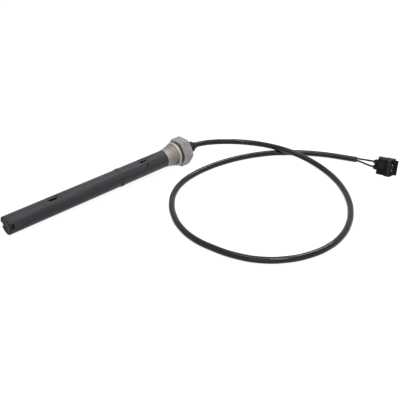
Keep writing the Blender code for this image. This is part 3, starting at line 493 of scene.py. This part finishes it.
def plug_nylon_finish():
    """Black nylon, greyer round the skirt's open end where a painted highlight lies, and darker in its
    corners with painted shade.
    """
    made, tree, shader, place = finish("plug_nylon_black", specular_ior_level=0.06)
    cloud = noise(tree, place, scale=500, detail=4)
    tone = ramp(tree, cloud, [(0.3, (0.016, 0.015, 0.017)), (0.7, (0.023, 0.022, 0.024))])
    inputs = {"Vector": place, "Location": PLUG.translation, "Rotation": PLUG.to_euler()}
    seated = node(tree, "Mapping", inputs, vector_type="TEXTURE").outputs["Vector"]
    share = fade(tree, along_axis(tree, seated), 0.0080, 0.0160)
    # Painted highlight: a greyer band round the skirt's open end, where the rim catches the light.
    rim = ramp(tree, share, [(0.12, grey(0.0)), (0.34, grey(0.8)), (0.62, grey(0.6)), (0.85, grey(0.0))])
    tone = mix(tree, rim, tone, (0.060, 0.058, 0.061))
    # Painted shade darkens the colour in the moulding's corners and gaps.
    feed(tree, painted_crevice_shade(tree, tone, 0.0016), shader, "Base Color")
    feed(tree, between(tree, cloud, 0.34, 0.5), shader, "Roughness")
    relief(tree, shader, noise(tree, place, scale=4200, detail=2), depth=0.00003, strength=0.5)
    return made


def lock_plate_finish():
    made, tree, shader, place = finish("lock_plate_grey", roughness=0.45, specular_ior_level=0.08)
    cloud = noise(tree, place, scale=600, detail=3)
    tone = ramp(tree, cloud, [(0.3, (0.026, 0.021, 0.026)), (0.7, (0.036, 0.030, 0.035))])
    # Painted shade darkens the colour in the plate's corners and gaps.
    feed(tree, painted_crevice_shade(tree, tone, 0.0010), shader, "Base Color")
    relief(tree, shader, noise(tree, place, scale=4200, detail=2), depth=0.00003, strength=0.4)
    return made


def silicone_finish():
    made, tree, shader, place = finish("seal_silicone_brown", roughness=0.5, specular_ior_level=0.25)
    cloud = noise(tree, place, scale=900, detail=3)
    tone = ramp(tree, cloud, [(0.3, (0.016, 0.012, 0.010)), (0.7, (0.028, 0.020, 0.016))])
    feed(tree, tone, shader, "Base Color")
    return made


def contact_tin_finish():
    made, tree, shader, place = finish("contact_tin", metallic=1.0)
    scuff = noise(tree, place, scale=1800, detail=3)
    tone = ramp(tree, scuff, [(0.3, (0.62, 0.61, 0.60)), (0.7, (0.86, 0.85, 0.84))])
    feed(tree, tone, shader, "Base Color")
    feed(tree, between(tree, scuff, 0.18, 0.34), shader, "Roughness")
    return made


def drawn_steel_finish():
    made, tree, shader, place = finish("drawn_steel", metallic=1.0)
    draw = noise(tree, place, scale=2400, detail=3)
    feed(tree, ramp(tree, draw, [(0.3, grey(0.40)), (0.7, grey(0.58))]), shader, "Base Color")
    feed(tree, between(tree, draw, 0.25, 0.4), shader, "Roughness")
    return made


def pin_brass_finish():
    made, tree, shader, place = finish("pin_brass", metallic=1.0)
    tarnish = noise(tree, place, scale=1500, detail=3)
    tone = ramp(tree, tarnish, [(0.3, (0.52, 0.36, 0.16)), (0.7, (0.78, 0.58, 0.30))])
    feed(tree, tone, shader, "Base Color")
    feed(tree, between(tree, tarnish, 0.22, 0.4), shader, "Roughness")
    return made


def cast_resin_finish():
    made, tree, shader, place = finish("cast_resin_black", roughness=0.25)
    cloud = noise(tree, place, scale=500, detail=2)
    feed(tree, ramp(tree, cloud, [(0.3, grey(0.010)), (0.7, grey(0.022))]), shader, "Base Color")
    return made


tube_grey = moulded_tube_finish()
inner_grey = inner_plastic_finish()
collar_nickel = turned_collar_finish()
hexagon_zinc = cast_hexagon_finish()
boot_rubber = boot_rubber_finish()
ring_rubber = seal_ring_finish()
sleeve_black = glossy_sleeve_finish()
wire_skin = wire_skin_finish()
plug_nylon = plug_nylon_finish()
lock_grey = lock_plate_finish()
silicone = silicone_finish()
contact_tin = contact_tin_finish()
drawn_steel = drawn_steel_finish()
pin_brass = pin_brass_finish()
cast_resin = cast_resin_finish()


# Pieces


def cut_window(tube, start, length, width, corner, angle, inner=0.003):
    """A window through the wall, its corners rounded about the radius that goes through its middle."""
    side = width / 2
    low = (start, -side, inner)
    high = (start + length, side, 0.012)
    cut_out(tube, swing(cut_block("window_cutter", low, high, corner, "Z", 6), angle - 90))


def cut_slot(tube, start, length=0.0090, width=0.0055):
    """An oil slot with round ends, its walls drawn in towards the bore as a moulded one's are."""
    inner, face, outer = 0.0052, 0.0075, 0.0098
    low = (start, -width / 2, inner)
    high = (start + length, width / 2, outer)
    cutter = cut_block("slot_cutter", low, high, 0.0024, "Z", 6)
    take(cutter)
    shape_edges()
    for level in (inner, outer):
        pick_vertices(cutter, lambda place: abs(place.z - level) < 1e-6)
        step = (level - face) * SLOT_DRAFT * 2
        grow = ((length + step * 0.5) / length, (width + step) / width, 1)
        bpy.ops.transform.resize(value=grow, center_override=(start + length / 2, 0, level))
    put_down(cutter, "slot_cutter")
    cut_out(tube, swing(cutter, SLOT_ANGLE - 90))


def drill(tube, x, radius, angle):
    clear_hands()
    bpy.ops.mesh.primitive_cylinder_add(vertices=32, radius=radius, depth=0.006, location=(x, 0, 0.008))
    cut_out(tube, swing(bpy.context.object, angle - 90))


def make_lower_tube():
    spigot = BORE + 0.00095
    stations = [
        (0.0004, BORE),
        (0, BORE + 0.0004),
        (0, LOWER_TUBE - 0.0004),
        (0.00012, LOWER_TUBE - 0.00012),
        (0.0004, LOWER_TUBE),
        (0.020, LOWER_TUBE),
        (0.062, LOWER_TUBE),
        (TUBE_JOINT, LOWER_TUBE),
        (TUBE_JOINT, spigot),
        (TUBE_JOINT + 0.006, spigot),
        (TUBE_JOINT + 0.006, BORE),
    ]
    tube = turn_on_lathe("lower_tube_shell", stations)
    cut_slot(tube, LOWER_SLOT)
    cut_window(tube, 0.0008, 0.0032, 0.0040, 0.0004, SNAP_ANGLE)
    cut_window(tube, -0.0020, 0.0040, 0.0034, 0.0004, SNAP_ANGLE + 180)
    break_edges(tube, 0.00012)
    return seat(tube, PROBE, "probe", "tube_plastic", tube_grey, "lower_tube")


def make_upper_tube():
    socket = BORE + 0.0011
    start = TUBE_JOINT + 0.00006
    stations = [
        (0.1123, BORE),
        (0.1123, socket),
        (start, socket),
        (start, UPPER_TUBE - 0.00012),
        (start + 0.0007, UPPER_TUBE + 0.00008),
        (start + 0.0013, UPPER_TUBE + 0.00024),
        (start + 0.0020, UPPER_TUBE + 0.0003),
        (start + 0.0036, UPPER_TUBE + 0.0003),
        (start + 0.0044, UPPER_TUBE + 0.0002),
        (start + 0.0053, UPPER_TUBE),
        (COLLAR_START - 0.00015, UPPER_TUBE),
        (COLLAR_START - 0.00015, BORE + 0.0010),
        (0.1717, BORE + 0.0010),
        (0.1717, BORE),
    ]
    tube = turn_on_lathe("upper_tube_shell", stations)
    cut_slot(tube, UPPER_SLOT)
    drill(tube, VENT, 0.0011, VENT_ANGLE)
    for angle in NIB_ANGLES:
        cut_window(tube, TUBE_JOINT + 0.00145, 0.0016, 0.0022, 0.0003, angle, 0.0070)
    break_edges(tube, 0.00012)
    return seat(tube, PROBE, "probe", "tube_plastic", tube_grey, "upper_tube")


def make_collar():
    steps = 14
    flare = []
    for step in range(steps + 1):
        share = step / steps
        flare.append((0.1602 + 0.0111 * share, 0.0083 + 0.0026 * share**1.3))
    stations = [
        (COLLAR_START, 0.00715),
        (COLLAR_START, 0.0081),
        (0.15906, 0.00822),
        (0.1592, 0.0083),
        *flare,
        (0.17142, 0.01104),
        (0.17156, 0.01118),
        (0.17175, 0.01124),
        (0.17265, 0.01124),
        (0.17290, 0.01118),
        (0.17305, 0.01104),
        (RIM_END, 0.01088),
        (RIM_END, 0.00908),
        (0.17318, 0.0090),
        (0.18565, 0.0090),
        (0.18565, 0.00825),
        (0.18685, 0.00825),
        (0.18685, 0.0090),
        (0.1874, 0.0090),
        (0.1878, 0.0086),
        (0.1878, 0.0053),
        (0.1875, 0.0050),
        (0.1747, 0.0050),
        (0.1747, 0.00715),
    ]
    collar = turn_on_lathe("turned_collar", stations, sides=128)
    return seat(collar, PROBE, "probe", "collar_metal", collar_nickel, "collar", smooth=30)


def make_seal_ring():
    clear_hands()
    bpy.ops.mesh.primitive_torus_add(
        major_segments=96,
        minor_segments=16,
        major_radius=0.0099,
        minor_radius=0.00075,
        location=(0.1740, 0, 0),
        rotation=ALONG_X,
    )
    ring = bpy.context.object
    shape_edges()
    put_down(ring, "groove_seal")
    return seat(ring, PROBE, "probe", "black_rubber", ring_rubber, "seal_ring", smooth=60)


def make_hexagon():
    """Hexagon prism, its corners turned off by a cone at each end, on a turned bore."""
    clear_hands()
    start, end = HEXAGON_START, HEXAGON_END
    corner = HEXAGON_FLATS / 2 / math.cos(math.radians(30))
    bpy.ops.mesh.primitive_cylinder_add(
        vertices=6,
        radius=corner,
        depth=end - start,
        location=((start + end) / 2, 0, 0),
        rotation=ALONG_X,
    )
    hexagon = bpy.context.object
    bpy.ops.object.transform_apply(location=True, rotation=True, scale=True)
    rise = math.tan(math.radians(30))
    face = 0.0126
    wide = corner * 1.03
    reach = (wide - face) * rise
    past = 0.001
    cone = turn_solid(
        "corner_cone",
        [
            (start - past, face - past / rise),
            (start + reach, wide),
            (end - reach, wide),
            (end + past, face - past / rise),
        ],
        sides=120,
    )
    keep_within(hexagon, cone)
    hole, mouth = 0.0092, 0.0106
    bore = turn_solid(
        "bore_cutter",
        [(start - past, mouth), (start + 0.0004, hole), (end - 0.0004, hole), (end + past, mouth)],
    )
    cut_out(hexagon, bore)
    break_edges(hexagon, 0.00035, 3, 22)
    return seat(hexagon, PROBE, "hexagon", "cast_metal", hexagon_zinc, "hex_nut", smooth=35)


def make_boot():
    stations = [
        (0.1852, 0.00295),
        (0.1852, 0.00485),
        (0.1881, 0.00485),
        (0.1881, 0.0060),
        (0.1883, 0.0062),
        (0.1893, 0.0062),
        (0.1895, 0.0060),
        (0.1898, 0.0053),
        (0.1900, 0.0052),
        (0.1942, 0.0052),
        (0.1946, 0.0051),
        (0.1949, 0.0048),
        (0.1962, 0.0037),
        (0.1966, 0.0035),
        (0.1982, 0.0034),
        (0.1985, 0.0032),
        (0.1985, 0.00295),
    ]
    boot = turn_on_lathe("strain_relief_boot", stations, sides=64)
    return seat(boot, PROBE, "probe", "black_rubber", boot_rubber, "boot", smooth=50)


def lay_curve(name, route, diameter, body, slot, surface, *nodes):
    """A round lead: one open Bezier spline through the route, closed at both ends."""
    data = bpy.data.curves.new(name, "CURVE")
    data.dimensions = "3D"
    data.bevel_depth = diameter / 2
    data.bevel_resolution = 8
    data.resolution_u = 10
    data.use_fill_caps = True
    spline = data.splines.new("BEZIER")
    spline.bezier_points.add(len(route) - 1)
    for point, place in zip(spline.bezier_points, route):
        point.co = place
        point.handle_left_type = "AUTO"
        point.handle_right_type = "AUTO"
    lead = bpy.data.objects.new(name, data)
    bpy.context.collection.objects.link(lead)
    data.materials.append(surface)
    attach(lead, body)
    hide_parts(*nodes)
    return lead


def wire_route(side, height):
    """From just inside the sleeve's cut end in one easy bend to a seal, and straight on to its contact."""
    start = SLEEVE_END - SLEEVE_WAY * 0.0006 + Vector((0, 0, side * WIRE_DIAMETER * 0.625))
    gate = PLUG @ Vector((-0.0043, 0, height))
    inner = PLUG @ Vector((0.0027, 0, height))
    knots = (start, start + SLEEVE_WAY * 0.005, gate - (inner - gate).normalized() * 0.006, gate)
    route = []
    steps = 13
    for step in range(steps + 1):
        t = step / steps
        shares = ((1 - t) ** 3, 3 * t * (1 - t) ** 2, 3 * t**2 * (1 - t), t**3)
        route.append(sum((knot * share for knot, share in zip(knots, shares)), Vector()))
    return [tuple(place) for place in (*route, gate.lerp(inner, 0.5), inner)]


def make_plug_housing():
    """Skirt cut at a slant round a double tower, on a body with ribs, a lock pocket and a locking tongue."""
    body = cut_block("plug_housing", (0, -0.0032, 0.0007), (0.0090, 0.0032, 0.0167), 0.0008, "X")
    skirt = cut_block("skirt", (0.0074, -0.0039, 0), (0.0146, 0.0039, 0.0174), 0.0022, "X", 8)
    join_on(body, skirt)
    room = cut_block("skirt_room", (0.0090, -0.0030, 0.0009), (0.0160, 0.0030, 0.0165), 0.0013, "X", 8)
    cut_out(body, room)
    slant = cut_block("mouth_cutter", (0.0100, -0.0060, -0.001), (0.0200, 0.0030, 0.0184))
    take(slant)
    shape_edges()
    pick_vertices(slant, lambda place: place.x < 0.0101 and place.y > 0)
    bpy.ops.transform.translate(value=(0.0046, 0, 0))
    put_down(slant, "mouth_cutter")
    cut_out(body, slant)
    far_cut = cut_block("far_cutter", (0.0146, -0.0060, -0.001), (0.0200, 0.0060, 0.0184))
    cut_out(body, far_cut)
    tower = cut_block("tower", (0.0080, -0.00185, 0.00425), (0.0132, 0.00185, 0.01315), 0.00184, "X", 10)
    join_on(body, tower)
    tongue = cut_block("tongue", (0.0116, 0.0029, 0.0003), (0.0172, 0.00385, 0.0152), 0.0006, "Y", 3)
    join_on(body, tongue)
    join_on(body, cut_block("latch_nose", (0.0152, 0.0024, 0.0074), (0.0163, 0.0033, 0.0100)))
    for height in (0.0024, 0.0048):
        join_on(body, cut_block("rib", (0.0004, -0.0036, height), (0.0079, -0.0027, height + 0.0008)))
    for z in CONTACT_HEIGHTS.values():
        join_on(body, turn_solid("boss", [(-0.0026, 0.00245), (0.002, 0.00245)], 48, (0, z)))
    seal_way, contact_way = 0.0021, 0.00145
    for z in CONTACT_HEIGHTS.values():
        way = [(-0.0036, seal_way), (0.0030, seal_way), (0.0030, contact_way), (0.0142, contact_way)]
        cut_out(body, turn_solid("contact_way", way, 40, (0, z)))
    pocket = cut_block("lock_pocket", (0.00065, -0.0042, 0.00685), (0.00695, -0.0022, 0.01475))
    cut_out(body, pocket)
    break_edges(body, 0.00015, 2, 50)
    return seat(body, PLUG, "probe", "plug_plastic", plug_nylon, "connector_housing", smooth=45)


def make_lock_plate():
    plate = cut_block("lock_plate", (0.0008, -0.0034, 0.0070), (0.0068, -0.00235, 0.0146), 0.0003, "Y")
    cut_out(plate, cut_block("thumb_step", (0.0052, -0.0042, 0.0078), (0.0078, -0.0030, 0.0100)))
    break_edges(plate, 0.00012)
    return seat(plate, PLUG, "probe", "plug_plastic", lock_grey, "terminal_lock")


def make_socket(name, z):
    stations = [
        (0.0033, 0.0005),
        (0.0033, 0.0008),
        (0.0046, 0.0013),
        (0.0130, 0.0013),
        (0.0131, 0.0012),
        (0.0131, 0.0008),
        (0.0129, 0.0007),
        (0.0090, 0.0007),
        (0.0090, 0.0005),
    ]
    socket = turn_on_lathe(f"contact_{name}", stations, 32, (0, z))
    return seat(socket, PLUG, "probe", "tinned_metal", contact_tin, f"socket_{name}")


def make_wire_seal(name, z):
    """A grommet with three ridges round it."""
    bore, crest, root = 0.0010, 0.00195, 0.00155
    back, front = -0.0038, 0.0027
    stations = [(back, bore), (back, 0.00185)]
    for ridge in range(3):
        start = -0.0036 + 0.0021 * ridge
        stations += [(start, crest), (start + 0.0005, crest)]
        stations += [(start + 0.0009, root), (start + 0.0015, root)]
    stations += [(front, crest), (front, bore)]
    seal = turn_on_lathe(f"grommet_{name}", stations, 40, (0, z))
    return seat(seal, PLUG, "probe", "seal_rubber", silicone, f"wire_seal_{name}", smooth=60)


def make_front_seal():
    ring = cut_block("tower_seal", (0.00915, -0.0028, 0.0033), (0.01155, 0.0028, 0.0141), 0.00279, "X", 12)
    low, high = (0.0080, -0.0020, 0.0041), (0.0120, 0.0020, 0.0133)
    cut_out(ring, cut_block("tower_seal_room", low, high, 0.00199, "X", 12))
    break_edges(ring, 0.0003, 3)
    return seat(ring, PLUG, "probe", "seal_rubber", silicone, "front_seal", smooth=60)


SURFACES = {
    "tip_guide": tube_grey,
    "wire_carrier": inner_grey,
    "head_insert": inner_grey,
    "measuring_wire": drawn_steel,
    "tension_spring": drawn_steel,
    "crimp_ferrule": drawn_steel,
    "retaining_ring": drawn_steel,
    "pin_left": pin_brass,
    "pin_right": pin_brass,
    "potting": cast_resin,
}

for cad_name, surface in SURFACES.items():
    cad_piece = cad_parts[cad_name]
    cad_piece.data.materials.clear()
    cad_piece.data.materials.append(surface)

cable = lay_curve("fly_lead", CABLE_ROUTE, CABLE_DIAMETER, "probe", "sleeve_gloss", sleeve_black, "cable")
sides = {"upper": 1, "lower": -1}
routes = {which: wire_route(sides[which], z) for which, z in CONTACT_HEIGHTS.items()}
for which, route in routes.items():
    lay_curve(
        f"conductor_{which}", route, WIRE_DIAMETER, "probe", "black_rubber", wire_skin, f"wire_{which}"
    )

make_lower_tube()
make_upper_tube()
make_collar()
make_seal_ring()
make_hexagon()
make_boot()
housing = make_plug_housing()
lock = make_lock_plate()
sockets = {which: make_socket(which, z) for which, z in CONTACT_HEIGHTS.items()}
seals = {which: make_wire_seal(which, z) for which, z in CONTACT_HEIGHTS.items()}
front_seal = make_front_seal()


# Studio

FLOOR_TONE = 0.24
FLOOR_GLOW = 0.90
ROOM_LIGHT = 0.38
CAMERA_PLACE = (-0.25535, -0.39616, 0.27131)
CAMERA_WAY = (0.5773, 0.6327, -0.5161)
CAMERA_LENS = 55.08

# Each lamp has its name, place, target, width, depth and watts.
LAMPS = (
    ("overhead_softbox", (0.10, 0.0, 1.08), (0.05, -0.06, 0), 0.6, 0.4, 2.7),
    ("right_softbox", (0.78, 0.08, 1.00), (0.08, -0.06, 0), 0.09, 0.38, 3.7),
    ("front_softbox", (-0.70, -0.80, 0.80), (0.05, -0.06, 0), 0.7, 0.7, 1.9),
    ("sheen_softbox", (0.02, -0.50, 0.93), (0.03, -0.16, 0), 0.09, 0.42, 3.0),
)


def aim(thing, target):
    thing.rotation_euler = (Vector(target) - thing.location).to_track_quat("-Z", "Y").to_euler()


def hang_lamp(name, place, target, width, depth, watts):
    data = bpy.data.lights.new(name, "AREA")
    data.shape = "RECTANGLE"
    data.size = width
    data.size_y = depth
    data.energy = watts
    lamp = bpy.data.objects.new(name, data)
    bpy.context.collection.objects.link(lamp)
    lamp.location = place
    aim(lamp, target)


def seen_directly(tree):
    """One for a ray that shows the white studio itself, or shows it in a reflection or through glass."""
    path = node(tree, "LightPath").outputs
    either = node(tree, "Math", {0: path["Is Camera Ray"], 1: path["Is Glossy Ray"]}, operation="MAXIMUM")
    inputs = {0: either.outputs[0], 1: path["Is Transmission Ray"]}
    return node(tree, "Math", inputs, operation="MAXIMUM").outputs[0]


def lay_floor():
    """A white floor that keeps the object's shadow."""
    clear_hands()
    bpy.ops.mesh.primitive_plane_add(size=12, location=(0, 0, 0))
    floor = bpy.context.object
    floor.name = "studio_floor"
    made, tree, shader, _ = finish("studio_floor_white", roughness=0.9, specular_ior_level=0.1)
    shader.inputs["Base Color"].default_value = (*grey(FLOOR_TONE), 1)
    glow = node(tree, "Emission", {"Color": (1, 1, 1, 1)})
    lift = node(tree, "Math", {0: seen_directly(tree), 1: FLOOR_GLOW}, operation="MULTIPLY")
    tree.links.new(lift.outputs[0], glow.inputs["Strength"])
    both = node(tree, "AddShader", {0: shader.outputs[0], 1: glow.outputs[0]})
    tree.links.new(both.outputs[0], tree.nodes["Material Output"].inputs["Surface"])
    floor.data.materials.append(made)


def light_studio():
    world = bpy.data.worlds.new("studio_air")
    bpy.context.scene.world = world
    world.use_nodes = True
    tree = world.node_tree
    room = tree.nodes["Background"]
    room.inputs["Color"].default_value = (1, 1, 1, 1)
    room.inputs["Strength"].default_value = ROOM_LIGHT
    white = node(tree, "Background", {"Color": (1, 1, 1, 1), "Strength": 1.0})
    choose = node(tree, "MixShader", {0: seen_directly(tree), 1: room.outputs[0], 2: white.outputs[0]})
    tree.links.new(choose.outputs[0], tree.nodes["World Output"].inputs["Surface"])
    for name, place, target, width, depth, watts in LAMPS:
        hang_lamp(name, place, target, width, depth, watts)


def set_camera():
    data = bpy.data.cameras.new("studio_camera")
    camera = bpy.data.objects.new("studio_camera", data)
    bpy.context.collection.objects.link(camera)
    data.sensor_width = 36
    data.lens = CAMERA_LENS
    data.clip_start = 0.01
    data.clip_end = 50
    camera.location = CAMERA_PLACE
    aim(camera, camera.location + Vector(CAMERA_WAY))
    bpy.context.scene.camera = camera


lay_floor()
light_studio()
set_camera()
bpy.context.scene.view_settings.view_transform = "Standard"

clear_hands()
